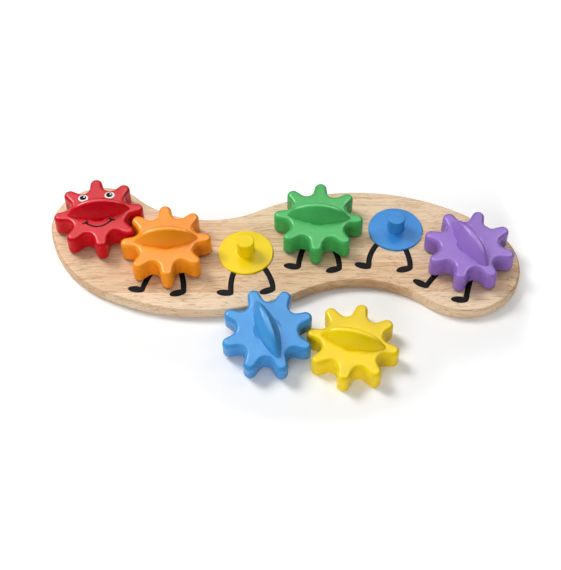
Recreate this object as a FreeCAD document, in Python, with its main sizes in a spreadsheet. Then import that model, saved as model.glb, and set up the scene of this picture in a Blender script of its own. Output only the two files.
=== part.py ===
import FreeCAD, Part
import math
import os
import Sketcher

# A peg and gear board toy. An S-shaped board carries a row of six peg bases, and six moulded gears
# with finger fins go on the pegs. Four gears are on their pegs, the red and the orange one in mesh.
# The blue gear leans on the board's front edge and the yellow one lies on the table beside it.
# Frame: millimetres, +X along the board to the tail, +Y to the back, +Z up, with the origin under
# the board's middle, on the surface that it stands on.

SIZES = [
    # alias, value, meaning
    ("board_thickness", 10.0, "board, underside to top"),
    ("board_edge_round", 2.5, "rounding along both edges of the board"),
    ("crown_radius", 172.4, "long convex sweep of each lobe"),
    ("crown_x", 61.0, "crown's centre from the middle, along the board"),
    ("lobe_reach", 60.6, "middle of the board to the outermost edge of a lobe"),
    ("bay_radius", 87.2, "concave bay beside each lobe"),
    ("bay_x", 58.4, "bay's centre from the middle, along the board"),
    ("tail_drop", 15.5, "tail's round centre below the middle line"),
    ("cheek_radius", 88.1, "flatter sweep between the front crown and the head"),
    ("cheek_x", 98.9, "cheek's centre from the middle, along the board"),
    ("head_rise", 27.2, "head's round centre above the middle line"),
    ("row_x", 1.05, "middle of the peg row, along the board"),
    ("row_y", 7.7, "middle of the peg row, behind the board's middle"),
    ("middle_link_angle", 21.8, "slope of the line between the third and fourth peg, degrees"),
    ("end_link_angle", 27.5, "slope of the line between the last two pegs at each end, degrees"),
    ("tooth_count", 8, "teeth on each gear"),
    ("gear_reach", 35.5, "gear's centre to the tip of a tooth"),
    ("root_radius", 23.9, "gear's centre to the bottom of a valley"),
    ("tip_round", 4.9, "full round at the end of a tooth"),
    ("valley_round", 5.7, "round of the valley between two teeth"),
    ("tip_clearance", 3.0, "tooth tip to the facing valley when two gears mesh"),
    ("gear_edge_round", 3.2, "rounding around the gear's top"),
    ("gear_wall", 2.4, "thickness of the gear's outer wall"),
    ("gear_skin", 2.4, "thickness of the gear's top"),
    ("peg_top_skin", 1.85, "gear's top over the end of the peg"),
    ("hub_wall", 2.6, "thickness of the hub tube around the peg"),
    ("rib_thickness", 1.6, "ribs between the hub and the outer wall"),
    ("rib_recess", 0.8, "ribs' lower edge above the hub's lower end"),
    ("bore_lead", 1.4, "chamfer at the mouth of the hub"),
    ("fin_overrun", 1.1, "finger fin's ends beyond the circle of the valley bottoms"),
    ("fin_height", 14.6, "fin's ridge above the gear's top"),
    ("fin_lens_width", 20.0, "greatest thickness of the lens that the fin is a part of"),
    ("fin_ridge_round", 2.5, "round along the fin's ridge"),
    ("scoop_length", 12.0, "finger scoop at the foot of the fin, along it"),
    ("scoop_width", 6.4, "finger scoop, across the fin"),
    ("scoop_depth", 0.7, "finger scoop, below the gear's top"),
    ("scoop_offset", 7.3, "fin's middle plane to the middle of a scoop"),
    ("core_near", 11.0, "gear's centre to the near end of the hollow in each half of the fin"),
    ("core_end_gap", 5.5, "far end of that hollow to the end of the fin"),
    ("core_near_width", 8.0, "width of that hollow at its near end"),
    ("core_far_width", 3.0, "width of that hollow at its far end"),
    ("core_height", 3.5, "top of that hollow above the gear's top"),
    ("base_radius", 21.8, "peg base's round foot"),
    ("rim_height", 1.5, "edge of the foot"),
    ("rim_round", 0.7, "rounding of that edge"),
    ("cone_height", 1.9, "foot's height where it meets the peg"),
    ("peg_radius", 7.0, "peg"),
    ("peg_height", 15.9, "peg's top above the board"),
    ("peg_top_round", 1.0, "rounding of the peg's top"),
    ("peg_root_round", 0.6, "fillet where the peg meets its foot"),
    ("running_gap", 0.1, "radial clearance of the gear on the peg"),
    ("seat_gap", 0.3, "clearance where a gear sits over its base"),
    ("peg_end_gap", 0.4, "clearance over the end of the peg"),
    ("screw_radius", 1.75, "screw's shank"),
    ("screw_fit", 0.05, "radial clearance of the shank in the peg"),
    ("screw_bite", 10.0, "length of the screw inside the peg"),
    ("screw_point", 2.0, "length of the screw's point"),
    ("screw_head_radius", 3.6, "screw's pan head"),
    ("screw_head_height", 2.0, "screw's pan head"),
    ("screw_head_round", 1.0, "rounding of the pan head"),
    ("screw_slot_length", 4.4, "cross recess, end to end"),
    ("screw_slot_width", 0.9, "cross recess, width of a slot"),
    ("screw_slot_depth", 1.1, "cross recess"),
    ("hole_clearance", 0.35, "radial clearance of the shank in the board"),
    ("counterbore_gap", 0.6, "radial clearance around the screw's head"),
    ("counterbore_depth", 2.6, "screw's seat above the board's underside"),
    ("red_turn", 8.4, "red gear's fin from +X, degrees"),
    ("green_turn", -4.7, "green gear's fin from +X, degrees"),
    ("purple_turn", -63.2, "purple gear's fin from +X, degrees"),
    ("blue_turn", -70.2, "blue gear's fin from +X, degrees"),
    ("yellow_turn", -14.9, "yellow gear's fin from +X, degrees"),
    ("blue_x", -10.4, "leaning blue gear's middle"),
    ("blue_y", -82.9, "leaning blue gear's middle"),
    ("yellow_x", 53.6, "lying yellow gear's middle"),
    ("yellow_y", -92.6, "lying yellow gear's middle"),
]

doc = FreeCAD.newDocument("peg_gear_toy")
sheet = doc.addObject("Spreadsheet::Sheet", "sizes")
for row, (alias, value, meaning) in enumerate(SIZES, start=1):
    sheet.set(f"A{row}", meaning)
    sheet.set(f"B{row}", str(value))
    sheet.setAlias(f"B{row}", alias)
doc.recompute()

Vector = FreeCAD.Vector
UP = Vector(0, 0, 1)
START, END, CENTRE = range(1, 4)            # points of a line or arc, as a constraint names them
ACROSS, UPRIGHT = range(-1, -3, -1)         # a sketch's horizontal and vertical axis
ORIGIN = (ACROSS, START)


def size(alias):
    return float(sheet.get(alias))


def unit(vector):
    return vector / vector.Length


def polar(radius, degrees):
    angle = math.radians(degrees)
    return Vector(radius * math.cos(angle), radius * math.sin(angle), 0)


# ---------------------------------------------------------------- sketch helpers

def sketch_on(body, role, name, lift=None, shift_up=None):
    """A sketch on one of the body's own planes, raised along its normal or moved up within it."""
    plane = next(item for item in body.Origin.OriginFeatures if item.Role == role)
    sketch = body.newObject("Sketcher::SketchObject", name)
    sketch.AttachmentSupport = [(plane, "")]
    sketch.MapMode = "FlatFace"
    if lift:
        sketch.setExpression("AttachmentOffset.Base.z", lift)
    if shift_up:
        sketch.setExpression("AttachmentOffset.Base.y", shift_up)
    return sketch


def bind(sketch, kind, *items, to):
    """Add a constraint whose value follows an expression on the sheet."""
    index = sketch.addConstraint(Sketcher.Constraint(kind, *items))
    sketch.setExpression(f"Constraints[{index}]", to)
    return index


def place(sketch, point, here, x=None, y=None):
    """Fix a point's distance from the origin along one or both axes; here is where it is now."""
    for kind, value, rule in (("DistanceX", here.x, x), ("DistanceY", here.y, y)):
        if rule is None:
            continue
        if value < 0:
            bind(sketch, kind, *point, *ORIGIN, -value, to=f"-({rule})")
        else:
            bind(sketch, kind, *ORIGIN, *point, value, to=rule)


def add_arc(sketch, centre, start, end, counter_clockwise=True):
    """Add an arc and give its number with its entry and exit points."""
    first, last = (start, end) if counter_clockwise else (end, start)
    angles = [math.atan2(p.y - centre.y, p.x - centre.x) for p in (first, last)]
    if angles[1] < angles[0]:
        angles[1] += 2 * math.pi
    circle = Part.Circle(centre, UP, (start - centre).Length)
    number = sketch.addGeometry(Part.ArcOfCircle(circle, *angles), False)
    return (number, START, END) if counter_clockwise else (number, END, START)


def add_line(sketch, start, end):
    return sketch.addGeometry(Part.LineSegment(start, end), False), START, END


def join(sketch, pieces, kind):
    """Join each piece's exit to the next one's entry, by Tangent or Coincident."""
    for this, following in pieces:
        sketch.addConstraint(Sketcher.Constraint(kind, this[0], this[2], following[0], following[1]))


def pad(body, sketch, name, length):
    feature = body.newObject("PartDesign::Pad", name)
    feature.Profile = sketch
    feature.setExpression("Length", length)
    return feature


def pocket(body, sketch, name, length, along_normal=False):
    """Cut against the sketch's normal, or along it."""
    feature = body.newObject("PartDesign::Pocket", name)
    feature.Profile = sketch
    feature.setExpression("Length", length)
    feature.Reversed = along_normal
    return feature


def repeat(body, feature, name, count):
    """Turn a feature about the body's Z axis into a full ring of count copies."""
    ring = body.newObject("PartDesign::PolarPattern", name)
    ring.Originals = [feature]
    ring.Axis = (feature.Profile[0], ["N_Axis"])
    ring.Angle = 360
    ring.setExpression("Occurrences", count)
    body.Tip = ring
    return ring


def edges_where(shape, wanted):
    edges = enumerate(shape.Edges, start=1)
    return [f"Edge{i}" for i, edge in edges if not edge.Degenerated and wanted(edge)]


def is_ring(edge, radius, height):
    """True for a full or part circle about the Z axis, of this radius and at this height."""
    curve = edge.Curve
    return (
        isinstance(curve, Part.Circle)
        and abs(curve.Radius - radius) < 1e-4
        and math.hypot(curve.Center.x, curve.Center.y) < 1e-4
        and abs(curve.Center.z - height) < 1e-4
    )


def soften(body, base, kind, name, edges, amount):
    """A Fillet or Chamfer on edges of the body's last feature."""
    feature = body.newObject(f"PartDesign::{kind}", name)
    feature.Base = (base, edges)
    feature.setExpression("Radius" if kind == "Fillet" else "Size", amount)
    return feature


# ---------------------------------------------------------------- the row of pegs

CENTRE_DISTANCE = "(sizes.gear_reach + sizes.root_radius + sizes.tip_clearance)"
centre_distance = size("gear_reach") + size("root_radius") + size("tip_clearance")

# Steps from the middle of the row to the third peg on one side, and on along that side.
INNER = (
    f"{CENTRE_DISTANCE} / 2 * cos(sizes.middle_link_angle * 1 deg)",
    f"{CENTRE_DISTANCE} / 2 * sin(sizes.middle_link_angle * 1 deg)",
)
MIDDLE = (f"{INNER[0]} + {CENTRE_DISTANCE}", INNER[1])
OUTER = (
    f"{MIDDLE[0]} + {CENTRE_DISTANCE} * cos(sizes.end_link_angle * 1 deg)",
    f"{MIDDLE[1]} - {CENTRE_DISTANCE} * sin(sizes.end_link_angle * 1 deg)",
)
inner = polar(centre_distance / 2, size("middle_link_angle"))
middle = inner + Vector(centre_distance, 0, 0)
outer = middle + polar(centre_distance, -size("end_link_angle"))
row_middle = Vector(size("row_x"), size("row_y"), 0)

COLOURS = ["red", "orange", "yellow", "green", "blue", "purple"]
PEGS = {}
for colour, side, steps, offset in (
    ("red", -1, OUTER, outer), ("orange", -1, MIDDLE, middle), ("yellow", -1, INNER, inner),
    ("green", 1, INNER, inner), ("blue", 1, MIDDLE, middle), ("purple", 1, OUTER, outer),
):
    PEGS[colour] = {
        "x": f"sizes.row_x + ({side}) * ({steps[0]})",
        "y": f"sizes.row_y + ({side}) * ({steps[1]})",
        "here": row_middle + offset * side,
    }


def put(item, x, y, z, turn="0", lean="0"):
    """Place a sub-part: turned about its own axis, leaned back about X, then moved."""
    item.setExpression(
        "Placement",
        f"create(<<placement>>; create(<<vector>>; {x}; {y}; {z});"
        f" create(<<rotation>>; create(<<vector>>; 1; 0; 0); {lean})"
        f" * create(<<rotation>>; create(<<vector>>; 0; 0; 1); {turn}))",
    )


def copy_of(master, label):
    """A second body that repeats a master body's shape."""
    body = doc.addObject("PartDesign::Body", label)
    base = body.newObject("PartDesign::FeatureBase", f"{label}_shape")
    base.BaseFeature = master
    body.Tip = base
    return body


# ---------------------------------------------------------------- board

def outline_arcs():
    """Centres of the arcs of the board's outline. Each arc is tangent to the next."""
    crown_radius = size("crown_radius")
    bay_radius = size("bay_radius")
    cheek_radius = size("cheek_radius")
    crown = Vector(-size("crown_x"), crown_radius - size("lobe_reach"), 0)
    across = size("bay_x") + size("crown_x")
    bay = Vector(size("bay_x"), crown.y - math.sqrt((crown_radius + bay_radius) ** 2 - across ** 2), 0)
    aside = size("cheek_x") - size("crown_x")
    below = math.sqrt((crown_radius - cheek_radius) ** 2 - aside ** 2)
    cheek = Vector(-size("cheek_x"), crown.y - below, 0)
    tail = end_round(-crown, crown_radius, bay, bay_radius, -size("tail_drop"), 1)
    head = end_round(cheek, cheek_radius, -bay, bay_radius, size("head_rise"), -1)
    return crown, bay, cheek, tail, head


def end_round(around, around_radius, beside, beside_radius, height, direction):
    """Centre, at the given height, of the round that lies inside one arc and beside another."""
    near, far = around.x, around.x + direction * 2 * around_radius
    for _ in range(60):
        centre = Vector((near + far) / 2, height, 0)
        if (centre - around).Length + (centre - beside).Length < around_radius + beside_radius:
            near = centre.x
        else:
            far = centre.x
    return centre


def make_board():
    body = doc.addObject("PartDesign::Body", "board")
    sketch = sketch_on(body, "XY_Plane", "board_outline")
    crown, bay, cheek, tail, head = outline_arcs()
    crown_radius, bay_radius, cheek_radius = size("crown_radius"), size("bay_radius"), size("cheek_radius")

    # Where each arc passes into the next, anticlockwise from the front of the tail.
    front_tail = bay + unit(tail - bay) * bay_radius
    back_tail = -crown + unit(tail + crown) * crown_radius
    back_turn = -bay + unit(bay - crown) * bay_radius
    back_head = -bay + unit(head + bay) * bay_radius
    front_head = cheek + unit(head - cheek) * cheek_radius
    front_cheek = crown + unit(cheek - crown) * crown_radius
    front_turn = bay + unit(crown - bay) * bay_radius

    tail_arc = add_arc(sketch, tail, front_tail, back_tail)
    back_crown = add_arc(sketch, -crown, back_tail, back_turn)
    back_bay = add_arc(sketch, -bay, back_turn, back_head, counter_clockwise=False)
    head_arc = add_arc(sketch, head, back_head, front_head)
    cheek_arc = add_arc(sketch, cheek, front_head, front_cheek)
    front_crown = add_arc(sketch, crown, front_cheek, front_turn)
    front_bay = add_arc(sketch, bay, front_turn, front_tail, counter_clockwise=False)
    ring = [tail_arc, back_crown, back_bay, head_arc, cheek_arc, front_crown, front_bay]
    join(sketch, zip(ring, ring[1:] + ring[:1]), "Tangent")

    for arc in (back_crown, front_crown):
        bind(sketch, "Radius", arc[0], crown_radius, to="sizes.crown_radius")
    for arc in (back_bay, front_bay):
        bind(sketch, "Radius", arc[0], bay_radius, to="sizes.bay_radius")
    bind(sketch, "Radius", cheek_arc[0], cheek_radius, to="sizes.cheek_radius")
    rise = "sizes.crown_radius - sizes.lobe_reach"
    place(sketch, (front_crown[0], CENTRE), crown, "-sizes.crown_x", rise)
    place(sketch, (back_crown[0], CENTRE), -crown, "sizes.crown_x", f"-({rise})")
    place(sketch, (front_bay[0], CENTRE), bay, "sizes.bay_x")
    place(sketch, (back_bay[0], CENTRE), -bay, "-sizes.bay_x")
    place(sketch, (cheek_arc[0], CENTRE), cheek, "-sizes.cheek_x")
    place(sketch, (tail_arc[0], CENTRE), tail, y="-sizes.tail_drop")
    place(sketch, (head_arc[0], CENTRE), head, y="sizes.head_rise")

    slab = pad(body, sketch, "board_slab", "sizes.board_thickness")
    doc.recompute()
    thickness = size("board_thickness")
    rims = edges_where(slab.Shape, lambda edge: edge.BoundBox.ZLength < 1e-6)
    rounded = soften(body, slab, "Fillet", "board_edges", rims, "sizes.board_edge_round")

    # A counterbored hole under each peg for its screw.
    through = sketch_on(body, "XY_Plane", "screw_holes")
    sunk = sketch_on(body, "XY_Plane", "screw_counterbores")
    hole_rule = "sizes.screw_radius + sizes.hole_clearance"
    sunk_rule = "sizes.screw_head_radius + sizes.counterbore_gap"
    hole_radius = size("screw_radius") + size("hole_clearance")
    sunk_radius = size("screw_head_radius") + size("counterbore_gap")
    for peg in PEGS.values():
        for sketch, radius, rule in ((through, hole_radius, hole_rule), (sunk, sunk_radius, sunk_rule)):
            circle = sketch.addGeometry(Part.Circle(peg["here"], UP, radius), False)
            bind(sketch, "Radius", circle, radius, to=rule)
            place(sketch, (circle, CENTRE), peg["here"], peg["x"], peg["y"])
    holes = pocket(body, through, "screw_hole_cut", "sizes.board_thickness", along_normal=True)
    seats = pocket(body, sunk, "screw_seat_cut", "sizes.counterbore_depth", along_normal=True)
    doc.recompute()
    ring_area = math.pi * (sunk_radius ** 2 - hole_radius ** 2)
    expected = len(PEGS) * (
        math.pi * hole_radius ** 2 * thickness + ring_area * size("counterbore_depth")
    )
    removed = rounded.Shape.Volume - seats.Shape.Volume
    assert abs(removed - expected) < 1.0, (holes.Name, removed, expected)
    return body


# ---------------------------------------------------------------- peg base

def polygon(sketch, points):
    """A closed chain of lines; the caller fixes their sizes."""
    lines = [add_line(sketch, a, b) for a, b in zip(points, points[1:] + points[:1])]
    join(sketch, zip(lines, lines[1:] + lines[:1]), "Coincident")
    return lines


def turned(body, name, points):
    """Revolve a half section, given as (radius, radius rule, height, height rule) corners."""
    sketch = sketch_on(body, "XZ_Plane", f"{name}_section")
    corners = [Vector(radius, height, 0) for radius, _, height, _ in points]
    lines = polygon(sketch, corners)
    for line, corner, (_, radius_rule, _, height_rule) in zip(lines, corners, points):
        for value, rule, axis, kind in (
            (corner.x, radius_rule, UPRIGHT, "x"), (corner.y, height_rule, ACROSS, "y")
        ):
            if rule is None:
                sketch.addConstraint(Sketcher.Constraint("PointOnObject", line[0], START, axis))
            else:
                place(sketch, (line[0], START), corner, **{kind: rule})
    feature = body.newObject("PartDesign::Revolution", name)
    feature.Profile = sketch
    feature.ReferenceAxis = (sketch, ["V_Axis"])
    feature.Angle = 360
    return feature


def make_peg_base():
    """A round foot that rises gently to the peg, with a blind hole for the screw."""
    body = doc.addObject("PartDesign::Body", "peg_base_master")
    foot, peg = size("base_radius"), size("peg_radius")
    pilot = size("screw_radius") + size("screw_fit")
    depth = size("screw_bite") + size("seat_gap")
    pilot_rule, depth_rule = "sizes.screw_radius + sizes.screw_fit", "sizes.screw_bite + sizes.seat_gap"
    shape = turned(body, "peg_base_turned", [
        (pilot, pilot_rule, 0, None),
        (foot, "sizes.base_radius", 0, None),
        (foot, "sizes.base_radius", size("rim_height"), "sizes.rim_height"),
        (peg, "sizes.peg_radius", size("cone_height"), "sizes.cone_height"),
        (peg, "sizes.peg_radius", size("peg_height"), "sizes.peg_height"),
        (0, None, size("peg_height"), "sizes.peg_height"),
        (0, None, depth, depth_rule),
        (pilot, pilot_rule, depth, depth_rule),
    ])
    last = shape
    for name, radius, height, amount in (
        ("peg_root_fillet", peg, "cone_height", "sizes.peg_root_round"),
        ("peg_top_fillet", peg, "peg_height", "sizes.peg_top_round"),
        ("rim_fillet", foot, "rim_height", "sizes.rim_round"),
    ):
        doc.recompute()
        edges = edges_where(last.Shape, lambda edge: is_ring(edge, radius, size(height)))
        last = soften(body, last, "Fillet", name, edges, amount)
    return body


# ---------------------------------------------------------------- gear

GEAR_LIFT = "(sizes.rim_height + sizes.seat_gap)"
BORE_DEPTH = f"(sizes.peg_height - {GEAR_LIFT} + sizes.peg_end_gap)"
GEAR_HEIGHT = f"({BORE_DEPTH} + sizes.peg_top_skin)"
HUB_START = f"(sizes.cone_height + sizes.seat_gap - {GEAR_LIFT})"
gear_lift = size("rim_height") + size("seat_gap")
bore_depth = size("peg_height") - gear_lift + size("peg_end_gap")
gear_height = bore_depth + size("peg_top_skin")
hub_start = size("cone_height") + size("seat_gap") - gear_lift
bore_radius = size("peg_radius") + size("running_gap")


def tooth_sector(sketch, inset, inset_rule):
    """One tooth with half a valley each side, closed to the centre; inset draws it a wall further in.

    A round tip passes by a straight flank into the round valley, whose lowest point is on the
    line between this tooth and the next.
    """
    half_pitch = 180 / size("tooth_count")
    tip_round = size("tip_round") - inset
    valley_round = size("valley_round") + inset
    tip = Vector(size("gear_reach") - size("tip_round"), 0, 0)
    valley = polar(size("root_radius") + size("valley_round"), half_pitch)
    between = valley - tip
    flank_angle = math.degrees(
        math.atan2(between.y, between.x) - math.acos((tip_round + valley_round) / between.Length)
    )
    tip_end = tip + polar(tip_round, flank_angle)
    valley_end = valley - polar(valley_round, flank_angle)
    valley_bottom = valley - unit(valley) * valley_round
    middle_point = Vector(0, 0, 0)

    def mirrored(point):
        return Vector(point.x, -point.y, 0)

    lower_edge = add_line(sketch, middle_point, mirrored(valley_bottom))
    lower_valley = add_arc(sketch, mirrored(valley), mirrored(valley_bottom), mirrored(valley_end), False)
    lower_flank = add_line(sketch, mirrored(valley_end), mirrored(tip_end))
    tip_arc = add_arc(sketch, tip, mirrored(tip_end), tip_end)
    upper_flank = add_line(sketch, tip_end, valley_end)
    upper_valley = add_arc(sketch, valley, valley_end, valley_bottom, False)
    upper_edge = add_line(sketch, valley_bottom, middle_point)
    chain = [lower_valley, lower_flank, tip_arc, upper_flank, upper_valley]
    join(sketch, zip(chain, chain[1:]), "Tangent")
    join(sketch, [(lower_edge, lower_valley), (upper_valley, upper_edge)], "Coincident")
    for edge, point in ((lower_edge, START), (upper_edge, END)):
        sketch.addConstraint(Sketcher.Constraint("Coincident", edge[0], point, *ORIGIN))

    bind(sketch, "Radius", tip_arc[0], tip_round, to=f"sizes.tip_round - {inset_rule}")
    sketch.addConstraint(Sketcher.Constraint("PointOnObject", tip_arc[0], CENTRE, ACROSS))
    place(sketch, (tip_arc[0], CENTRE), tip, x="sizes.gear_reach - sizes.tip_round")
    for valley_arc, edge, sign in ((lower_valley, lower_edge, -1), (upper_valley, upper_edge, 1)):
        bind(sketch, "Radius", valley_arc[0], valley_round, to=f"sizes.valley_round + {inset_rule}")
        sketch.addConstraint(Sketcher.Constraint("PointOnObject", valley_arc[0], CENTRE, edge[0]))
        centre = Vector(valley.x, sign * valley.y, 0)
        reach = "(sizes.root_radius + sizes.valley_round)"
        angle = "(180 / sizes.tooth_count * 1 deg)"
        place(
            sketch, (valley_arc[0], CENTRE), centre,
            f"{reach} * cos({angle})", f"({sign}) * {reach} * sin({angle})",
        )


def ring_of_sectors(body, name, inset, inset_rule, cut=None, below="0"):
    """The whole toothed outline as a pad, or as a pocket up to a height, started below the gear."""
    sketch = sketch_on(body, "XY_Plane", f"{name}_sector", lift=f"-{below}")
    tooth_sector(sketch, inset, inset_rule)
    if cut is None:
        feature = pad(body, sketch, f"{name}_tooth", GEAR_HEIGHT)
    else:
        feature = pocket(body, sketch, f"{name}_tooth", f"{cut} + {below}", along_normal=True)
    return repeat(body, feature, f"{name}_teeth", "sizes.tooth_count")


HALF_FIN = "(sizes.root_radius + sizes.fin_overrun)"
FIN_ARCH = f"(({HALF_FIN} ^ 2 + sizes.fin_height ^ 2) / (2 * sizes.fin_height))"
half_fin = size("root_radius") + size("fin_overrun")
fin_arch = (half_fin ** 2 + size("fin_height") ** 2) / (2 * size("fin_height"))


def make_fin(body):
    """The finger fin: the part above the gear's top of an upright lens with a rounded rim."""
    rounding = size("fin_ridge_round")
    half_width = size("fin_lens_width") / 2
    sketch = sketch_on(
        body, "YZ_Plane", "fin_section", shift_up=f"{GEAR_HEIGHT} + sizes.fin_height - {FIN_ARCH}"
    )
    # A side's arc starts square on the axis and runs tangent into the ridge.
    slack = half_width - rounding
    reach = fin_arch - rounding
    offset = (reach ** 2 - slack ** 2) / (2 * slack)
    ridge = Vector(0, reach, 0)
    sides = [Vector(-offset, 0, 0), Vector(offset, 0, 0)]
    touches = [ridge + unit(ridge - side) * rounding for side in sides]
    right = add_arc(sketch, sides[0], Vector(half_width, 0, 0), touches[0])
    top = add_arc(sketch, ridge, touches[0], touches[1])
    left = add_arc(sketch, sides[1], touches[1], Vector(-half_width, 0, 0))
    axis = add_line(sketch, Vector(-half_width, 0, 0), Vector(half_width, 0, 0))
    join(sketch, [(right, top), (top, left)], "Tangent")
    join(sketch, [(left, axis), (axis, right)], "Coincident")
    bind(sketch, "Radius", top[0], rounding, to="sizes.fin_ridge_round")
    sketch.addConstraint(Sketcher.Constraint("PointOnObject", top[0], CENTRE, UPRIGHT))
    place(sketch, (top[0], CENTRE), ridge, y=f"{FIN_ARCH} - sizes.fin_ridge_round")
    for arc, point, x in ((right, START, half_width), (left, END, -half_width)):
        sketch.addConstraint(Sketcher.Constraint("PointOnObject", arc[0], CENTRE, ACROSS))
        sketch.addConstraint(Sketcher.Constraint("PointOnObject", arc[0], point, ACROSS))
        rule = "sizes.fin_lens_width / 2"
        place(sketch, (arc[0], point), Vector(x, 0, 0), x=rule if x > 0 else f"-({rule})")
    fin = body.newObject("PartDesign::Revolution", "fin")
    fin.Profile = sketch
    fin.ReferenceAxis = (sketch, ["H_Axis"])
    fin.Midplane = True
    fin.setExpression("Angle", f"2 * atan2({HALF_FIN}; {FIN_ARCH} - sizes.fin_height)")
    return fin


def make_scoops(body):
    """A shallow oval dent on each side, which the foot of the fin then covers in part.

    Each is the lower part of an ellipsoid whose centre is one depth above the gear's top and
    whose upright radius is two depths, so its other radii are the dent's half length and half
    width divided by half the root of three.
    """
    for name, side in (("near_scoop", -1), ("far_scoop", 1)):
        scoop = body.newObject("PartDesign::SubtractiveEllipsoid", name)
        plane = next(item for item in body.Origin.OriginFeatures if item.Role == "XY_Plane")
        scoop.AttachmentSupport = [(plane, "")]
        scoop.MapMode = "FlatFace"
        scoop.setExpression("Radius1", "sizes.scoop_depth * 2")
        scoop.setExpression("Radius2", "sizes.scoop_length / sqrt(3)")
        scoop.setExpression("Radius3", "sizes.scoop_width / sqrt(3)")
        scoop.setExpression("AttachmentOffset.Base.y", f"({side}) * sizes.scoop_offset")
        scoop.setExpression("AttachmentOffset.Base.z", f"{GEAR_HEIGHT} + sizes.scoop_depth")


def make_fin_cores(body):
    """A hollow in each half of the fin, open to the underside, that keeps the moulding's wall even."""
    ceiling = f"{GEAR_HEIGHT} - sizes.gear_skin"
    sketch = sketch_on(body, "XY_Plane", "fin_core_outline", lift=ceiling)
    far_end, far_end_rule = half_fin - size("core_end_gap"), f"{HALF_FIN} - sizes.core_end_gap"
    ends = (
        (size("core_near"), "sizes.core_near", size("core_near_width") / 2, "sizes.core_near_width / 2"),
        (far_end, far_end_rule, size("core_far_width") / 2, "sizes.core_far_width / 2"),
    )
    (near, near_rule, near_half, near_half_rule), (far, far_rule, far_half, far_half_rule) = ends
    corners = [
        (near, near_rule, -near_half, f"-({near_half_rule})"),
        (far, far_rule, -far_half, f"-({far_half_rule})"),
        (far, far_rule, far_half, far_half_rule),
        (near, near_rule, near_half, near_half_rule),
    ]
    lines = polygon(sketch, [Vector(x, y, 0) for x, _, y, _ in corners])
    for line, (x, x_rule, y, y_rule) in zip(lines, corners):
        place(sketch, (line[0], START), Vector(x, y, 0), x_rule, y_rule)
    core = pocket(body, sketch, "fin_core", "sizes.gear_skin + sizes.core_height", along_normal=True)
    repeat(body, core, "fin_cores", "2")
    doc.recompute()


def make_gear():
    """One moulded gear: toothed cup with a skin on top, hub, ribs and finger fin."""
    body = doc.addObject("PartDesign::Body", "gear_master")
    blank = ring_of_sectors(body, "blank", 0.0, "0")
    doc.recompute()
    rim = edges_where(
        blank.Shape,
        lambda edge: abs(edge.BoundBox.ZMin - gear_height) < 1e-4 and edge.BoundBox.ZLength < 1e-6,
    )
    rounded = soften(body, blank, "Fillet", "gear_top_edge", rim, "sizes.gear_edge_round")
    doc.recompute()
    make_scoops(body)
    doc.recompute()
    assert body.Tip.Shape.Volume < rounded.Shape.Volume, "the scoops dent the gear's top"
    fin = make_fin(body)
    doc.recompute()
    assert fin.Shape.Volume > rounded.Shape.Volume, "the fin adds to the gear"

    hollow_depth = f"{GEAR_HEIGHT} - sizes.gear_skin"
    before = body.Tip.Shape.Volume
    hollow = ring_of_sectors(
        body, "hollow", size("gear_wall"), "sizes.gear_wall", cut=hollow_depth, below=FIN_ARCH
    )
    doc.recompute()
    assert hollow.Shape.Volume < before, "the gear is hollow underneath"
    make_fin_cores(body)

    hub_sketch = sketch_on(body, "XY_Plane", "hub_circle", lift=HUB_START)
    hub_rule = "sizes.peg_radius + sizes.running_gap + sizes.hub_wall"
    hub_radius = bore_radius + size("hub_wall")
    circle = hub_sketch.addGeometry(Part.Circle(Vector(0, 0, 0), UP, hub_radius), False)
    hub_sketch.addConstraint(Sketcher.Constraint("Coincident", circle, CENTRE, *ORIGIN))
    bind(hub_sketch, "Radius", circle, hub_radius, to=hub_rule)
    pad(body, hub_sketch, "hub", f"{GEAR_HEIGHT} - sizes.gear_skin / 2 - {HUB_START}")

    # Ribs run from the hub into the wall behind each valley.
    rib_sketch = sketch_on(body, "XY_Plane", "rib_strip", lift=f"{HUB_START} + sizes.rib_recess")
    rib_sketch.setExpression("AttachmentOffset.Rotation.Angle", "180 / sizes.tooth_count * 1 deg")
    near = bore_radius + size("hub_wall") / 2
    far = size("root_radius") - size("gear_wall") / 2
    side = size("rib_thickness") / 2
    corners = [Vector(near, -side, 0), Vector(far, -side, 0), Vector(far, side, 0), Vector(near, side, 0)]
    lines = polygon(rib_sketch, corners)
    near_rule = "sizes.peg_radius + sizes.running_gap + sizes.hub_wall / 2"
    far_rule = "sizes.root_radius - sizes.gear_wall / 2"
    side_rule = "sizes.rib_thickness / 2"
    for line, corner, x_rule in zip(lines, corners, (near_rule, far_rule, far_rule, near_rule)):
        y_rule = side_rule if corner.y > 0 else f"-({side_rule})"
        place(rib_sketch, (line[0], START), corner, x_rule, y_rule)
    rib_height = f"{GEAR_HEIGHT} - sizes.gear_skin / 2 - {HUB_START} - sizes.rib_recess"
    rib = pad(body, rib_sketch, "rib", rib_height)
    repeat(body, rib, "ribs", "sizes.tooth_count")

    bore_sketch = sketch_on(body, "XY_Plane", "bore_circle")
    circle = bore_sketch.addGeometry(Part.Circle(Vector(0, 0, 0), UP, bore_radius), False)
    bore_sketch.addConstraint(Sketcher.Constraint("Coincident", circle, CENTRE, *ORIGIN))
    bind(bore_sketch, "Radius", circle, bore_radius, to="sizes.peg_radius + sizes.running_gap")
    bore = pocket(body, bore_sketch, "bore", BORE_DEPTH, along_normal=True)
    doc.recompute()
    mouth = edges_where(bore.Shape, lambda edge: is_ring(edge, bore_radius, hub_start))
    soften(body, bore, "Chamfer", "bore_mouth", mouth, "sizes.bore_lead")
    return body


# ---------------------------------------------------------------- screw

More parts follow.
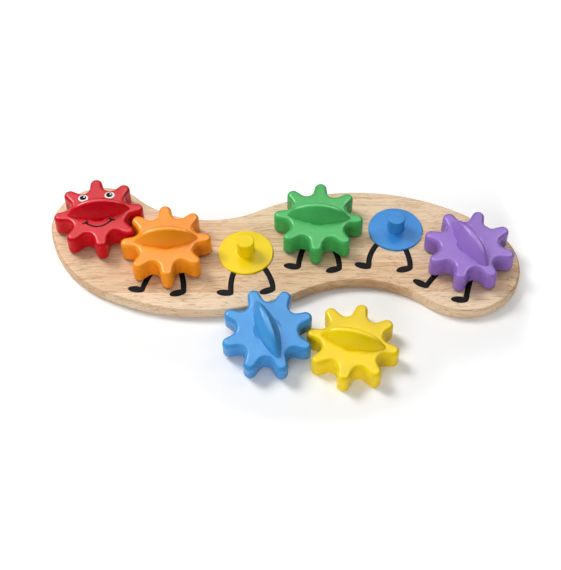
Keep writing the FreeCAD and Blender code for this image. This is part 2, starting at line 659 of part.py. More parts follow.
def make_screw():
    """A pan-head screw, head down, standing on its seat in the board's counterbore."""
    body = doc.addObject("PartDesign::Body", "peg_screw_master")
    head, shank = size("screw_head_radius"), size("screw_radius")
    drop = size("screw_head_height")
    reach = size("board_thickness") - size("counterbore_depth") + size("screw_bite")
    reach_rule = "sizes.board_thickness - sizes.counterbore_depth + sizes.screw_bite"
    neck = reach - size("screw_point")
    shape = turned(body, "screw_turned", [
        (0, None, -drop, "-sizes.screw_head_height"),
        (head, "sizes.screw_head_radius", -drop, "-sizes.screw_head_height"),
        (head, "sizes.screw_head_radius", 0, None),
        (shank, "sizes.screw_radius", 0, None),
        (shank, "sizes.screw_radius", neck, f"{reach_rule} - sizes.screw_point"),
        (0, None, reach, reach_rule),
    ])
    doc.recompute()
    edge = edges_where(shape.Shape, lambda item: is_ring(item, head, -drop))
    soften(body, shape, "Fillet", "screw_head_edge", edge, "sizes.screw_head_round")

    recess = sketch_on(body, "XY_Plane", "cross_recess", lift="-sizes.screw_head_height")
    long, narrow = size("screw_slot_length") / 2, size("screw_slot_width") / 2
    half_long, half_narrow = "sizes.screw_slot_length / 2", "sizes.screw_slot_width / 2"
    # Twelve corners of a plus sign, a quarter at a time.
    quarter = [
        (long, half_long, narrow, half_narrow),
        (narrow, half_narrow, narrow, half_narrow),
        (narrow, half_narrow, long, half_long),
    ]
    corners, rules = [], []
    for turn in range(4):
        for x, x_rule, y, y_rule in quarter:
            point = FreeCAD.Rotation(UP, 90 * turn).multVec(Vector(x, y, 0))
            if turn % 2:
                x_rule, y_rule = y_rule, x_rule
            corners.append(point)
            rules.append((x_rule if point.x > 0 else f"-({x_rule})", y_rule if point.y > 0 else f"-({y_rule})"))
    for line, corner, (x_rule, y_rule) in zip(polygon(recess, corners), corners, rules):
        place(recess, (line[0], START), corner, x_rule, y_rule)
    pocket(body, recess, "cross_recess_cut", "sizes.screw_slot_depth", along_normal=True)
    return body


# ---------------------------------------------------------------- assembly

board = make_board()
base_master = make_peg_base()
gear_master = make_gear()
screw_master = make_screw()
doc.recompute()

bases = {colour: copy_of(base_master, f"{colour}_peg_base") for colour in COLOURS}
gears = {colour: copy_of(gear_master, f"{colour}_gear") for colour in COLOURS}
screws = {colour: copy_of(screw_master, f"{colour}_peg_screw") for colour in COLOURS}
for colour, peg in PEGS.items():
    put(bases[colour], peg["x"], peg["y"], "sizes.board_thickness")
    put(screws[colour], peg["x"], peg["y"], "sizes.counterbore_depth")

# The orange gear is turned so that its valley meets the red gear's tooth.
ORANGE_TURN = "180 - 2.5 * 360 / sizes.tooth_count - 2 * sizes.end_link_angle - sizes.red_turn"
for colour, turn in (
    ("red", "sizes.red_turn"), ("orange", ORANGE_TURN),
    ("green", "sizes.green_turn"), ("purple", "sizes.purple_turn"),
):
    put(gears[colour], PEGS[colour]["x"], PEGS[colour]["y"], f"sizes.board_thickness + {GEAR_LIFT}", turn)
put(gears["yellow"], "sizes.yellow_x", "sizes.yellow_y", "0", "sizes.yellow_turn")


def lean_angle():
    """Lean of the blue gear, which stands on its front teeth and rests on the board's rounded edge."""
    crown = outline_arcs()[0]
    turn = size("blue_turn") + 180
    tip = polar(size("gear_reach") - size("tip_round"), turn)
    touch_x = size("blue_x") + tip.x - size("tip_round")
    edge_y = crown.y - math.sqrt(size("crown_radius") ** 2 - (touch_x - crown.x) ** 2)
    reach = tip.y + size("tip_round")
    rounding = size("board_edge_round")
    rise = size("board_thickness") - rounding
    lean = 0.0
    for _ in range(20):
        floor_y = size("blue_y") - reach * math.cos(lean)
        run = edge_y + rounding - floor_y
        lean = math.atan2(rise, run) + math.asin((rounding + size("seat_gap")) / math.hypot(run, rise))
    return math.degrees(lean), reach * math.sin(lean)


lean, blue_z = lean_angle()
put(gears["blue"], "sizes.blue_x", "sizes.blue_y", str(blue_z), "sizes.blue_turn", str(lean))
doc.recompute()

# ---------------------------------------------------------------- checks and export

for item in doc.Objects:
    bad = [word for word in item.State if word in ("Invalid", "Error")]
    assert not bad, (item.Name, item.State)
nodes = [board, *bases.values(), *gears.values(), *screws.values()]
for node in nodes:
    shape = node.Shape
    assert not shape.isNull() and shape.isValid() and len(shape.Solids) == 1, node.Label
os.makedirs("parts", exist_ok=True)
for node in nodes:
    node.Shape.exportStep(os.path.join("parts", f"{node.Label}.step"))
print(f"{len(nodes)} sub-parts, blue gear leans {lean:.2f} degrees")
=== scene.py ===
import math

import bmesh
import bpy
from mathutils import Matrix, Vector
from mathutils.bvhtree import BVHTree


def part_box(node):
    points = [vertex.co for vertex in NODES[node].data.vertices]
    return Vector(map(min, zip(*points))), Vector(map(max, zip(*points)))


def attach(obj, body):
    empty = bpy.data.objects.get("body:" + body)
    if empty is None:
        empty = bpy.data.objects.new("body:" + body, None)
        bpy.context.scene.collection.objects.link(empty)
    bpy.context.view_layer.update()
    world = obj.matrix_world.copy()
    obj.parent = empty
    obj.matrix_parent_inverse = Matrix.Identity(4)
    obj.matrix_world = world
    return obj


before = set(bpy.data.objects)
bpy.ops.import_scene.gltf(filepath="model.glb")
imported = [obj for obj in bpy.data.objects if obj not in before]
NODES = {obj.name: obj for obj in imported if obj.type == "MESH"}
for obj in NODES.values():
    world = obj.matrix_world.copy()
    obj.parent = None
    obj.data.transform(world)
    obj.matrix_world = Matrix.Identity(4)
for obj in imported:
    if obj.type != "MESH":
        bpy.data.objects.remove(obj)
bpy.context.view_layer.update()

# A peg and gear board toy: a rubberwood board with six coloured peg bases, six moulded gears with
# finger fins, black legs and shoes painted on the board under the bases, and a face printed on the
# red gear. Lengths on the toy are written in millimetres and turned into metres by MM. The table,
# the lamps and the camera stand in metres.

MM = 0.001
FIN_HEIGHT = 14.6 * MM
FIN_FULLNESS = 0.27 * FIN_HEIGHT  # the relief that makes a fin's sides look fuller
BLUE_LEAN = math.radians(9.515)  # the loose blue gear leans back on the board's edge
RED_TURN = math.radians(8.4)  # the red gear's fin and face are turned a little on the peg


# ---------------------------------------------------------------- node trees

class Signal:
    """An output of a tree's node. Sums with it add the Math nodes that they stand for."""

    def __init__(self, tree, socket):
        self.tree = tree
        self.socket = socket

    def math(self, operation, *terms):
        """Number maths on these terms."""
        return self.tree.node("ShaderNodeMath", {"operation": operation}, dict(enumerate(terms)))[0]

    def __add__(self, other):
        return self.math("ADD", self, other)

    __radd__ = __add__

    def __mul__(self, other):
        return self.math("MULTIPLY", self, other)

    __rmul__ = __mul__

    def __sub__(self, other):
        return self.math("SUBTRACT", self, other)

    def __rsub__(self, other):
        return self.math("SUBTRACT", other, self)

    def __truediv__(self, other):
        return self.math("DIVIDE", self, other)

    def __pow__(self, other):
        return self.math("POWER", self, other)

    def __abs__(self):
        return self.math("ABSOLUTE", self)


class Outputs:
    """A node's outputs, by name or number, as signals."""

    def __init__(self, tree, node):
        self.tree = tree
        self.node = node

    def __getitem__(self, key):
        return Signal(self.tree, self.node.outputs[key])


class Tree:
    """A node tree that starts empty and is filled by one method."""

    def __init__(self, nodes):
        self.tree = nodes
        self.tree.nodes.clear()

    def node(self, kind, settings=None, sockets=None):
        """Add a node: first its settings, then the values or signals of its sockets."""
        node = self.tree.nodes.new(kind)
        for name, value in (settings or {}).items():
            if name == "stops":
                self.set_stops(node.color_ramp, value)
            elif name == "interpolation" and kind == "ShaderNodeValToRGB":
                node.color_ramp.interpolation = value
            else:
                setattr(node, name, value)
        for key, value in (sockets or {}).items():
            for item in value if isinstance(value, list) else [value]:
                self.feed(node.inputs[key], item)
        return Outputs(self, node)

    def set_stops(self, ramp, stops):
        while len(ramp.elements) < len(stops):
            ramp.elements.new(1.0)
        for element, (position, tone) in zip(ramp.elements, stops):
            element.position = position
            element.color = (*tone, 1.0)

    def feed(self, socket, value):
        if isinstance(value, Signal):
            self.tree.links.new(value.socket, socket)
        else:
            socket.default_value = value

    def vector(self, operation, *terms):
        """Vector maths: output 0 is a vector, and "Value" is a length or a dot product."""
        return self.node("ShaderNodeVectorMath", {"operation": operation}, dict(enumerate(terms)))

    def axes(self, vector):
        """A vector's X, Y and Z as outputs 0, 1 and 2."""
        return self.node("ShaderNodeSeparateXYZ", sockets={0: vector})

    def band(self, signal, none, full):
        """0 at none and beyond it, 1 at full and beyond it, and smooth between them."""
        return self.node(
            "ShaderNodeMapRange", {"interpolation_type": "SMOOTHSTEP"},
            {"Value": signal, "From Min": none, "From Max": full},
        )[0]


def ink(red, green, blue):
    """A colour written from 0 to 255 as it shows, in the linear light that shaders use."""
    shares = [value / 255 for value in (red, green, blue)]
    return tuple(
        share / 12.92 if share <= 0.04045 else ((share + 0.055) / 1.055) ** 2.4 for share in shares
    )


def add_object(name, data):
    """A new object in the scene."""
    item = bpy.data.objects.new(name, data)
    bpy.context.scene.collection.objects.link(item)
    return item


# ---------------------------------------------------------------- finishes

class Finish(Tree):
    """A material: one shader with its constants, and what varies over the surface."""

    def __init__(self, name, constants):
        self.material = bpy.data.materials.new(name)
        self.material.use_nodes = True
        super().__init__(self.material.node_tree)
        shader = self.node("ShaderNodeBsdfPrincipled", sockets=constants)
        self.shader = shader.node
        self.node("ShaderNodeOutputMaterial", sockets={"Surface": shader["BSDF"]})
        self.place = self.node("ShaderNodeTexCoord")["Object"]

    def vary(self, socket, signal):
        """Let a socket of the shader follow a signal."""
        self.feed(self.shader.inputs[socket], signal)

    def noise(self, place, scale, detail=2.0, roughness=0.5):
        """Noise of one scale, or of a scale for each axis where the pattern runs along one of them."""
        if isinstance(scale, tuple):
            place, scale = self.vector("MULTIPLY", place, scale)[0], 1.0
        return self.node("ShaderNodeTexNoise", sockets={
            "Vector": place, "Scale": scale, "Detail": detail, "Roughness": roughness,
        })[0]

    def blend(self, share, first, second, mode="MIX"):
        """Two colours, with a share of the second."""
        first, second = [tone if isinstance(tone, Signal) else (*tone, 1.0) for tone in (first, second)]
        return self.node(
            "ShaderNodeMix", {"data_type": "RGBA", "blend_type": mode}, {0: share, 6: first, 7: second}
        )[2]

    def relief(self, height, depth):
        """Raise the surface by a height times a depth in metres."""
        bump = self.node("ShaderNodeBump", sockets={"Height": height, "Distance": depth, "Strength": 1.0})
        self.vary("Normal", bump[0])


def moulded_plastic(name, body, deep, sheen, fin_foot=None, upward=None):
    """Satin injection-moulded plastic with a faint flow in its colour and a fine spark-eroded grain.

    On a gear, upward is the way its fin points and fin_foot the height of the fin's foot that way.
    """
    finish = Finish(name, {"IOR": 1.5, "Specular IOR Level": sheen})
    flow = finish.noise(finish.place, 32.0, 3.0, 0.55)
    clouds = finish.noise(finish.place, 150.0)
    grain = finish.noise(finish.place, 2600.0, 2.0, 0.6)
    depth_of_colour = finish.band(flow * 0.7 + clouds * 0.3, 0.35, 0.68)
    finish.vary("Base Color", finish.blend(depth_of_colour, body, deep))
    finish.vary("Roughness", 0.22 + 0.06 * clouds + 0.05 * grain)
    relief = grain * (0.01 * MM)
    if fin_foot is not None:
        along = finish.vector("DOT_PRODUCT", finish.place, upward)["Value"]
        rise = finish.node("ShaderNodeMapRange", sockets={
            "Value": along, "From Min": fin_foot, "From Max": fin_foot + FIN_HEIGHT,
        })[0]
        relief = relief - rise * rise * FIN_FULLNESS
    finish.relief(relief, 1.0)
    return finish.material


def rubberwood():
    """Light rubberwood in glued staves, fibres along X, under a thin satin lacquer."""
    finish = Finish("rubberwood", {"IOR": 1.45, "Specular IOR Level": 0.25, "Coat Roughness": 0.35})
    sides = finish.axes(finish.place)
    across, up = sides[1], sides[2]

    # Staves between glue lines, in millimetres across the board: each has a tone and its own heart,
    # so that rings don't run on over a glue line.
    seams = (-69.0, -43.1, -13.5, 0.7, 26.7, 52.0)
    tones = (0.40, 0.12, 0.85, 0.55, 0.70, 0.25, 0.45)
    low, high = -100.0, 100.0
    places = [0.0] + [(seam - low) / (high - low) for seam in seams]
    stave = finish.node(
        "ShaderNodeValToRGB",
        {"interpolation": "CONSTANT", "stops": [(at, (tone,) * 3) for at, tone in zip(places, tones)]},
        {0: (across / MM - low) / (high - low)},
    )[0]

    # Year rings round each stave's heart, and fibres, streaks and pores that sway along the board.
    wander = finish.noise(finish.place, (4.0, 26.0, 26.0))
    ripple = finish.noise(finish.place, (14.0, 9.0, 9.0)) * 0.02
    sway = finish.node("ShaderNodeCombineXYZ", sockets={1: ripple + stave * 0.7, 2: ripple})[0]
    grain = finish.vector("ADD", finish.place, sway)[0]
    heart = across + stave * 0.33 + wander * 0.016 - 0.12
    depth = up + stave * 0.05 - 0.052
    radius = (heart * heart + depth * depth) ** 0.5
    rings = finish.node(
        "ShaderNodeTexNoise", {"noise_dimensions": "1D"},
        {"W": radius * 330.0 + stave * 40.0, "Scale": 1.0, "Detail": 2.0},
    )[0]
    fibres = finish.noise(grain, (24.0, 840.0, 840.0), 3.0, 0.6)
    streaks = finish.noise(grain, (9.0, 170.0, 170.0), 3.0, 0.6)
    clouds = finish.noise(grain, (9.0, 40.0, 40.0))
    pores = finish.noise(grain, (75.0, 1250.0, 1250.0), 1.0)
    pore_mark = finish.band(pores, 0.60, 0.67)

    pale, honey = ink(230, 207, 176), ink(212, 182, 146)
    brown, rust = ink(164, 115, 78), ink(194, 146, 105)
    tone = finish.blend(finish.band(rings * 0.45 + stave * 0.45 + clouds * 0.25, 0.28, 0.82), pale, honey)
    tone = finish.blend(finish.band(streaks, 0.44, 0.64) * (0.16 + 0.38 * stave), tone, rust)
    tone = finish.blend(finish.band(fibres, 0.52, 0.62) * (0.20 + 0.32 * stave), tone, brown)
    tone = finish.blend(pore_mark * 0.50, tone, ink(146, 100, 66))

    # Painted shade: steep sides are multiplied darker and browner, partly the sanded edge's own tone, and
    # the rounded arris gets a thin darker line of painted shade.
    level = abs(finish.axes(finish.node("ShaderNodeTexCoord")["Normal"])[2])
    # painted shade on the steep sides, partly their own browner tone
    edge = 1 - finish.band(level, 0.62, 0.76)
    tone = finish.blend(edge * 0.40, tone, ink(246, 236, 226), "MULTIPLY")
    # painted shade: a thin darker line along the rounded arris
    arris_shade = finish.band(level, 0.62, 0.78) * (1 - finish.band(level, 0.86, 0.96))
    tone = finish.blend(arris_shade * 0.40, tone, ink(208, 172, 134), "MULTIPLY")
    finish.vary("Base Color", tone)
    finish.vary("Roughness", 0.46 + 0.10 * fibres + 0.10 * pore_mark)
    finish.vary("Coat Weight", 0.06 + 0.08 * clouds)
    finish.relief(fibres * 0.5 - pore_mark * 0.5, 0.06 * MM)
    return finish.material


def paint(name, body, worn):
    """A screen-printed paint film: almost even, with faint patches of tone, roughness and relief, and some
    gloss.
    """
    finish = Finish(name, {"IOR": 1.5, "Specular IOR Level": 0.04})
    patches = finish.noise(finish.place, 420.0, 3.0, 0.6)
    finish.vary("Base Color", finish.blend(finish.band(patches, 0.45, 0.75), body, worn))
    finish.vary("Roughness", 0.50 + 0.20 * patches)
    finish.relief(patches, 0.01 * MM)
    return finish.material


def zinc_steel():
    """Bright zinc-plated steel, lightly brushed and dulled in patches."""
    finish = Finish("zinc_steel", {"Metallic": 1.0})
    scratches = finish.noise(finish.place, (3000.0, 3000.0, 260.0))
    patches = finish.noise(finish.place, 500.0, 3.0)
    finish.vary("Base Color", finish.blend(patches, ink(222, 222, 218), ink(176, 178, 180)))
    finish.vary("Roughness", 0.24 + 0.26 * scratches)
    finish.relief(scratches, 0.01 * MM)
    return finish.material


def dress(node, material):
    """Give a CAD node's object its finish."""
    item = NODES[node]
    if not item.material_slots:
        item.data.materials.append(material)
    for slot in item.material_slots:
        slot.material = material


# Each colour's body tone and its deeper flow marks. Two bases differ a little from their gears.
GEAR_TONES = {
    "red": ((196, 8, 27), (188, 5, 23)),
    "orange": ((241, 147, 26), (237, 137, 17)),
    "yellow": ((236, 206, 14), (231, 197, 7)),
    "green": ((68, 170, 90), (60, 161, 80)),
    "blue": ((66, 145, 206), (54, 135, 199)),
    "purple": ((144, 110, 190), (136, 100, 182)),
}
BASE_TONES = GEAR_TONES | {
    "blue": ((57, 137, 204), (44, 126, 196)),
    "yellow": ((238, 208, 12), (232, 198, 6)),
}
GEAR_SHEEN, ORANGE_GEAR_SHEEN, BASE_SHEEN = 0.22, 0.28, 0.18

steel = zinc_steel()
for colour in GEAR_TONES:
    lean = BLUE_LEAN if colour == "blue" else 0.0
    upward = Vector((0.0, -math.sin(lean), math.cos(lean)))
    ridge = max(corner.co.dot(upward) for corner in NODES[f"{colour}_gear"].data.vertices)
    body, deep = [ink(*tone) for tone in GEAR_TONES[colour]]
    sheen = ORANGE_GEAR_SHEEN if colour == "orange" else GEAR_SHEEN
    gear_plastic = moulded_plastic(f"{colour}_gear_plastic", body, deep, sheen, ridge - FIN_HEIGHT, upward)
    body, deep = [ink(*tone) for tone in BASE_TONES[colour]]
    base_plastic = moulded_plastic(f"{colour}_plastic", body, deep, BASE_SHEEN)
    dress(f"{colour}_gear", gear_plastic)
    dress(f"{colour}_peg_base", base_plastic)
    dress(f"{colour}_peg_screw", steel)
dress("board", rubberwood())
black_paint = paint("black_paint", ink(16, 14, 15), ink(28, 25, 25))
white_paint = paint("white_paint", ink(255, 255, 254), ink(248, 248, 245))


# ---------------------------------------------------------------- printed shapes

STROKE_STEPS, OVAL_SIDES = 20, 48


class Print(Tree):
    """A Geometry Nodes tree with named inputs that grows one printed shape as a thin closed film."""

    def __init__(self, name, inputs, material):
        super().__init__(bpy.data.node_groups.new(name, "GeometryNodeTree"))
        interface = self.tree.interface
        interface.new_socket("Geometry", in_out="INPUT", socket_type="NodeSocketGeometry")
        for label, kind in inputs.items():
            interface.new_socket(label, in_out="INPUT", socket_type=f"NodeSocket{kind}")
        interface.new_socket("Geometry", in_out="OUTPUT", socket_type="NodeSocketGeometry")
        self.inputs = self.node("NodeGroupInput")
        self.material = material

    def finish_with(self, geometry):
        """End the tree: the shape is made real and takes its paint."""
        real = self.node("GeometryNodeRealizeInstances", sockets={"Geometry": geometry})[0]
        painted = self.node(
            "GeometryNodeSetMaterial", sockets={"Geometry": real, "Material": self.material}
        )[0]
        self.node("NodeGroupOutput", sockets={0: painted})

    def stroke(self, start, bend, end, width, film):
        """A ribbon of even width along a bent path, with round ends."""
        path = self.node("GeometryNodeCurveQuadraticBezier", sockets={
            "Resolution": STROKE_STEPS, "Start": start, "Middle": bend, "End": end,
        })[0]
        level = self.node("GeometryNodeSetCurveNormal", {"mode": "Z_UP"}, {"Curve": path})[0]
        section = self.node(
            "GeometryNodeCurvePrimitiveQuadrilateral", sockets={"Width": width, "Height": film}
        )[0]
        ribbon = self.node(
            "GeometryNodeCurveToMesh", sockets={"Curve": level, "Profile Curve": section, "Fill Caps": True}
        )[0]
        ends = [self.disc(at, width, width, 0.0, film) for at in (start, end)]
        return [ribbon, *ends]

    def disc(self, centre, length, width, turn, film):
        """A flat oval of the given length and width, turned about its middle."""
        round_film = self.node(
            "GeometryNodeMeshCylinder", sockets={"Vertices": OVAL_SIDES, "Radius": 0.5, "Depth": film}
        )["Mesh"]
        spread = self.node("ShaderNodeCombineXYZ", sockets={0: length, 1: width, 2: 1.0})[0]
        euler = self.node("ShaderNodeCombineXYZ", sockets={2: turn})[0]
        rotation = self.node("FunctionNodeEulerToRotation", sockets={0: euler})[0]
        return self.node("GeometryNodeTransform", sockets={
            "Geometry": round_film, "Translation": centre, "Rotation": rotation, "Scale": spread,
        })[0]

    def union(self, parts):
        """One closed film out of parts that overlap."""
        return self.node(
            "GeometryNodeMeshBoolean", {"operation": "UNION", "solver": "EXACT"}, {"Mesh 2": parts}
        )[0]

    def grow(self, values):
        """The shape for these values of the named inputs, as a plain mesh."""
        holder = add_object(f"{self.tree.name}_holder", bpy.data.meshes.new(self.tree.name))
        modifier = holder.modifiers.new(self.tree.name, "NODES")
        modifier.node_group = self.tree
        identifiers = {
            item.name: item.identifier for item in self.tree.interface.items_tree if item.in_out == "INPUT"
        }
        for label, value in values.items():
            modifier[identifiers[label]] = value
        ready = holder.evaluated_get(bpy.context.evaluated_depsgraph_get())
        mesh = bpy.data.meshes.new_from_object(ready)
        bpy.data.objects.remove(holder)
        return mesh


def leg_print(material):
    """A bent leg with a shoe, in one film."""
    tree = Print("painted_leg", {
        "Hip": "Vector", "Knee": "Vector", "Ankle": "Vector", "Leg Width": "Float",
        "Shoe Middle": "Vector", "Shoe Length": "Float", "Shoe Width": "Float", "Shoe Turn": "Float",
        "Film": "Float",
    }, material)
    asked = tree.inputs
    leg = tree.stroke(asked["Hip"], asked["Knee"], asked["Ankle"], asked["Leg Width"], asked["Film"])
    shoe = tree.disc(
        asked["Shoe Middle"], asked["Shoe Length"], asked["Shoe Width"], asked["Shoe Turn"], asked["Film"]
    )
    tree.finish_with(tree.union([*leg, shoe]))
    return tree


def stroke_print(material):
    """One stroke of a pen."""
    tree = Print("printed_stroke", {
        "Start": "Vector", "Bend": "Vector", "End": "Vector", "Width": "Float", "Film": "Float",
    }, material)
    asked = tree.inputs
    stroke = tree.stroke(asked["Start"], asked["Bend"], asked["End"], asked["Width"], asked["Film"])
    tree.finish_with(tree.union(stroke))
    return tree


def oval_print(name, material):
    """One oval spot."""
    tree = Print(name, {
        "Middle": "Vector", "Length": "Float", "Width": "Float", "Turn": "Float", "Film": "Float",
    }, material)
    asked = tree.inputs
    tree.finish_with(
        tree.disc(asked["Middle"], asked["Length"], asked["Width"], asked["Turn"], asked["Film"])
    )
    return tree


def one_piece(name, meshes):
    """Join meshes into one object; each keeps its own paint."""
    materials = []
    joined = bmesh.new()
    for mesh in meshes:
        for paint_used in mesh.materials:
            if paint_used not in materials:
                materials.append(paint_used)
        places = [materials.index(paint_used) for paint_used in mesh.materials]
        for face in mesh.polygons:
            face.material_index = places[face.material_index]
        joined.from_mesh(mesh)
    bmesh.ops.recalc_face_normals(joined, faces=joined.faces)
    whole = bpy.data.meshes.new(name)
    joined.to_mesh(whole)
    joined.free()
    for paint_used in materials:
        whole.materials.append(paint_used)
    return add_object(name, whole)


def lay_on(piece, node):
    """Lay a film, drawn about height 0, on a node's upper surface."""
    under = NODES[node].data
    ground = BVHTree.FromPolygons(
        [corner.co for corner in under.vertices], [face.vertices for face in under.polygons]
    )
    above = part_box(node)[1].z + 10 * MM
    for corner in piece.data.vertices:
        hit = ground.ray_cast(Vector((corner.co.x, corner.co.y, above)), Vector((0, 0, -1)))[0]
        corner.co.z += hit.z
    return piece


def middle_of(node):
    """The middle of a node's box."""
    low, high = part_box(node)
    return (low + high) / 2


def bent(start, through, end):
    """The control point of a bend that passes through a point halfway."""
    return through * 2 - (start + end) / 2


# ---------------------------------------------------------------- painted legs

LEG_WIDTH, SHOE_LENGTH, SHOE_WIDTH, LEG_FILM = 4.4, 13.4, 6.2, 0.12
# From the peg base's middle: the hip, a point at the knee, the ankle and the shoe's middle. Last comes
# the shoe's turn in degrees.
LEGS = {
    "orange": (
        ((-11.0, -18.0), (-15.4, -27.8), (-17.6, -35.5), (-22.3, -35.5), -8.4),
        ((11.4, -17.8), (13.8, -28.0), (14.5, -37.3), (10.2, -39.2), 14.5),
    ),
    "yellow": (
        ((-9.0, -18.8), (-11.0, -28.2), (-11.0, -37.5), (-15.6, -39.2), -5.6),
        ((14.8, -14.9), (19.5, -24.9), (21.5, -33.7), (17.4, -37.3), 19.8),
    ),
    "green": (
        ((-12.1, -18.1), (-15.3, -29.9), (-16.2, -36.7), (-21.3, -36.7), -10.1),
        ((11.7, -18.2), (15.1, -28.0), (16.0, -37.0), (11.7, -40.1), 15.6),
    ),
    "blue": (
        ((-15.6, -14.9), (-21.1, -25.1), (-23.0, -35.6), (-27.8, -36.3), -16.7),
        ((7.2, -20.6), (9.3, -30.2), (9.4, -38.3), (4.8, -40.0), 13.6),
    ),
    "purple": (
        ((-19.9, -9.0), (-28.6, -19.4), (-34.5, -27.7), (-38.8, -25.3), -32.1),
        ((0.7, -21.3), (-2.5, -31.2), (-4.7, -40.4), (-9.8, -41.0), -6.0),
    ),
}

leg = leg_print(black_paint)
leg_films = []
for colour, pair in LEGS.items():
    base = middle_of(f"{colour}_peg_base")
    for *points, shoe_turn in pair:
        hip, knee, ankle, shoe = [Vector((base.x + x * MM, base.y + y * MM, 0)) for x, y in points]
        leg_films.append(leg.grow({
            "Hip": hip, "Knee": bent(hip, knee, ankle), "Ankle": ankle, "Leg Width": LEG_WIDTH * MM,
            "Shoe Middle": shoe, "Shoe Length": SHOE_LENGTH * MM, "Shoe Width": SHOE_WIDTH * MM,
            "Shoe Turn": math.radians(shoe_turn), "Film": LEG_FILM * MM,
        }))
painted_legs = lay_on(one_piece("painted_legs", leg_films), "board")
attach(painted_legs, "toy_board")


# ---------------------------------------------------------------- printed face

# All from the gear's middle, along its fin and towards the eyes.
EYE_SPREAD, EYE_SHIFT = 10.6, -0.6
# An eye's films: how far beside the eye's middle, how far up, length, width and thickness.
EYE_WHITE = (0.0, 15.5, 8.0, 7.0, 0.08)
PUPIL = (-0.1, 16.0, 5.3, 4.9, 0.12)
GLINT = (0.9, 16.7, 1.4, 1.4, 0.16)
# The smile passes through its lowest point. The crease at each end has a start, a bend and an end.
SMILE = ((-10.6, -10.4), (-0.5, -15.8), (9.8, -10.5))
CREASES = (((-12.4, -11.0), (-10.6, -10.6), (-9.0, -9.5)), ((8.2, -8.6), (9.8, -10.4), (12.2, -10.9)))
PEN_WIDTH, PEN_FILM = 1.5, 0.10
red_middle = middle_of("red_peg_base")


def on_red(x, y):
    """A point on the red gear's top, from its middle, with X along its fin."""
    spot = Matrix.Rotation(RED_TURN, 3, "Z") @ Vector((x * MM, y * MM, 0))
    return Vector((red_middle.x + spot.x, red_middle.y + spot.y, 0))


eye_prints = (
    (oval_print("eye_white", white_paint), EYE_WHITE),
    (oval_print("pupil", black_paint), PUPIL),
    (oval_print("glint", white_paint), GLINT),
)
face_films = []
for side in (-1, 1):
    for eye_print, (beside, up, length, width, film) in eye_prints:
        face_films.append(eye_print.grow({
            "Middle": on_red(EYE_SPREAD * side + EYE_SHIFT + beside, up), "Length": length * MM,
            "Width": width * MM, "Turn": RED_TURN, "Film": film * MM,
        }))
start, lowest, end = [on_red(*point) for point in SMILE]
strokes = [(start, bent(start, lowest, end), end)]
strokes += [[on_red(*point) for point in crease] for crease in CREASES]
pen = stroke_print(black_paint)
for start, bend, end in strokes:
    face_films.append(pen.grow({
        "Start": start, "Bend": bend, "End": end, "Width": PEN_WIDTH * MM, "Film": PEN_FILM * MM,
    }))
printed_face = lay_on(one_piece("printed_face", face_films), "red_gear")
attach(printed_face, "red_gear")


# ---------------------------------------------------------------- floor, light and camera

TABLE_HALF, TABLE_DROP = 4.0, 0.02 * MM
# The middle, half length and half width of an oval round the board and of one round the loose gears.
BOARD_OVAL = ((0, 0, 0), 0.215, 0.095)
GEARS_OVAL = ((0.022, -0.088, 0), 0.085, 0.055)
LAMPS_AIM = Vector((0, -0.03, 0))


def from_oval(tree, place, middle, half_length, half_width):
    """How far a place lies from an oval's middle, 1 on its rim."""
    offset = tree.vector("SUBTRACT", place, middle)[0]
    scaled = tree.vector("MULTIPLY", offset, (1 / half_length, 1 / half_width, 0))[0]
    return tree.vector("LENGTH", scaled)["Value"]


def table_white():
    """A matt white that also glows for what sees it: little near the toy, so that its shadow stays.

    It glows more away from both ovals, and behind the toy and beside its right end, where this painted
    light washes out the toy's shadow.
    """
    material = bpy.data.materials.new("white_table")
    material.use_nodes = True
    tree = Tree(material.node_tree)
    path = tree.node("ShaderNodeLightPath")
    seen = path["Is Camera Ray"] + path["Is Glossy Ray"] + path["Is Transmission Ray"]
    place = tree.node("ShaderNodeTexCoord")["Object"]
    from_board, from_gears = [from_oval(tree, place, *oval) for oval in (BOARD_OVAL, GEARS_OVAL)]
    away = tree.band(from_board.math("MINIMUM", from_board, from_gears), 1.08, 1.55)
    sides = tree.axes(place)
    behind = tree.band(sides[1], 0.015, 0.075)
    beside = tree.band(sides[0], 0.178, 0.205)
    # painted light: the extra glow behind the toy and beside its right end washes its shadow out there
    glow_share = 0.03 + 0.42 * away + 0.25 * behind + 0.35 * beside
    matt = tree.node("ShaderNodeBsdfDiffuse", sockets={"Color": (0.99, 0.99, 0.99, 1.0)})[0]
    glow = tree.node("ShaderNodeEmission", sockets={"Strength": 1.45})[0]
    mixed = tree.node("ShaderNodeMixShader", sockets={0: seen * glow_share, 1: matt, 2: glow})[0]
    tree.node("ShaderNodeOutputMaterial", sockets={"Surface": mixed})
    return material


def white_floor():
    """A wide table top, a hair under the toy."""
    mesh = bpy.data.meshes.new("table_top")
    corners = [(x * TABLE_HALF, y * TABLE_HALF, 0) for x, y in ((-1, -1), (1, -1), (1, 1), (-1, 1))]
    mesh.from_pydata(corners, [], [(0, 1, 2, 3)])
    mesh.materials.append(table_white())
    floor = add_object("table_top", mesh)
    floor.location.z = -TABLE_DROP
    return floor


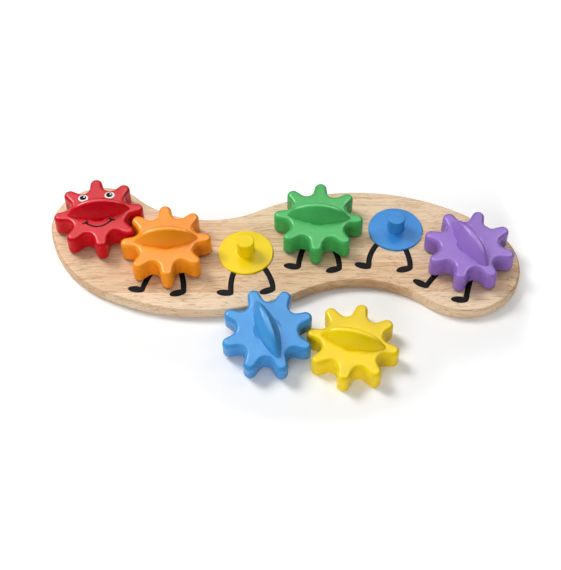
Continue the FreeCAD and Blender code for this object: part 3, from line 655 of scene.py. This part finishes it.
def studio_world():
    """A pale room, white where it is seen. In the toy's gloss it has a bright ceiling and two windows."""
    world = bpy.data.worlds.new("studio")
    bpy.context.scene.world = world
    world.use_nodes = True
    tree = Tree(world.node_tree)
    path = tree.node("ShaderNodeLightPath")
    shown = path["Is Camera Ray"]
    mirrored = path["Is Glossy Ray"] + path["Is Transmission Ray"]
    sides = tree.axes(tree.node("ShaderNodeTexCoord")["Generated"])
    aside, back, up = abs(sides[0]), sides[1], sides[2]
    room = 0.135 + 0.29 * tree.band(up, 0.7, 0.1)
    ceiling = tree.band(up, 0.52, 0.92) * tree.band(back, -0.35, 0.15)
    # The windows are high up, to the left and the right of the toy's back.
    windows = tree.band(aside * 0.52 + back * 0.47 + up * 0.71, 0.93, 0.985) * tree.band(up, 0.45, 0.65)
    strength = room * (1 - 0.7 * mirrored) + mirrored * (8.6 * ceiling + 7.0 * windows)
    background = tree.node("ShaderNodeBackground", sockets={
        "Color": (1.0, 1.0, 1.0, 1.0), "Strength": strength * (1 - shown) + shown,
    })[0]
    tree.node("ShaderNodeOutputWorld", sockets={"Surface": background})


def lamp(name, place, width, height, power):
    """A soft rectangular lamp aimed at the toy."""
    light = bpy.data.lights.new(name, "AREA")
    light.shape = "RECTANGLE"
    light.size, light.size_y, light.energy = width, height, power
    item = add_object(name, light)
    item.location = place
    item.rotation_euler = (LAMPS_AIM - Vector(place)).to_track_quat("-Z", "Y").to_euler()
    return item


def camera():
    """The view from above the toy's front."""
    data = bpy.data.cameras.new("camera")
    data.sensor_width, data.lens = 36.0, 76.53
    data.clip_start, data.clip_end = 0.05, 30.0
    item = add_object("camera", data)
    place = (-0.000413, -0.601559, 0.767331)
    right = Vector((0.99999242, -0.00311853, -0.00233))
    back = Vector((0.0, -0.59853583, 0.80109604))
    turn = Matrix((right, back.cross(right), back)).transposed().to_4x4()
    item.matrix_world = Matrix.Translation(place) @ turn
    bpy.context.scene.camera = item


white_floor()
studio_world()
lamp("overhead_soft_box", (-0.10, 0.25, 2.10), 1.4, 1.2, 5.0)
lamp("left_soft_box", (-1.24, 0.84, 1.65), 0.8, 0.8, 35.0)
lamp("right_soft_box", (1.32, 0.66, 1.60), 0.8, 0.8, 4.5)
lamp("front_fill", (-0.5, -1.8, 0.60), 1.2, 0.6, 14.5).visible_glossy = False
camera()
bpy.context.scene.view_settings.view_transform = "Standard"
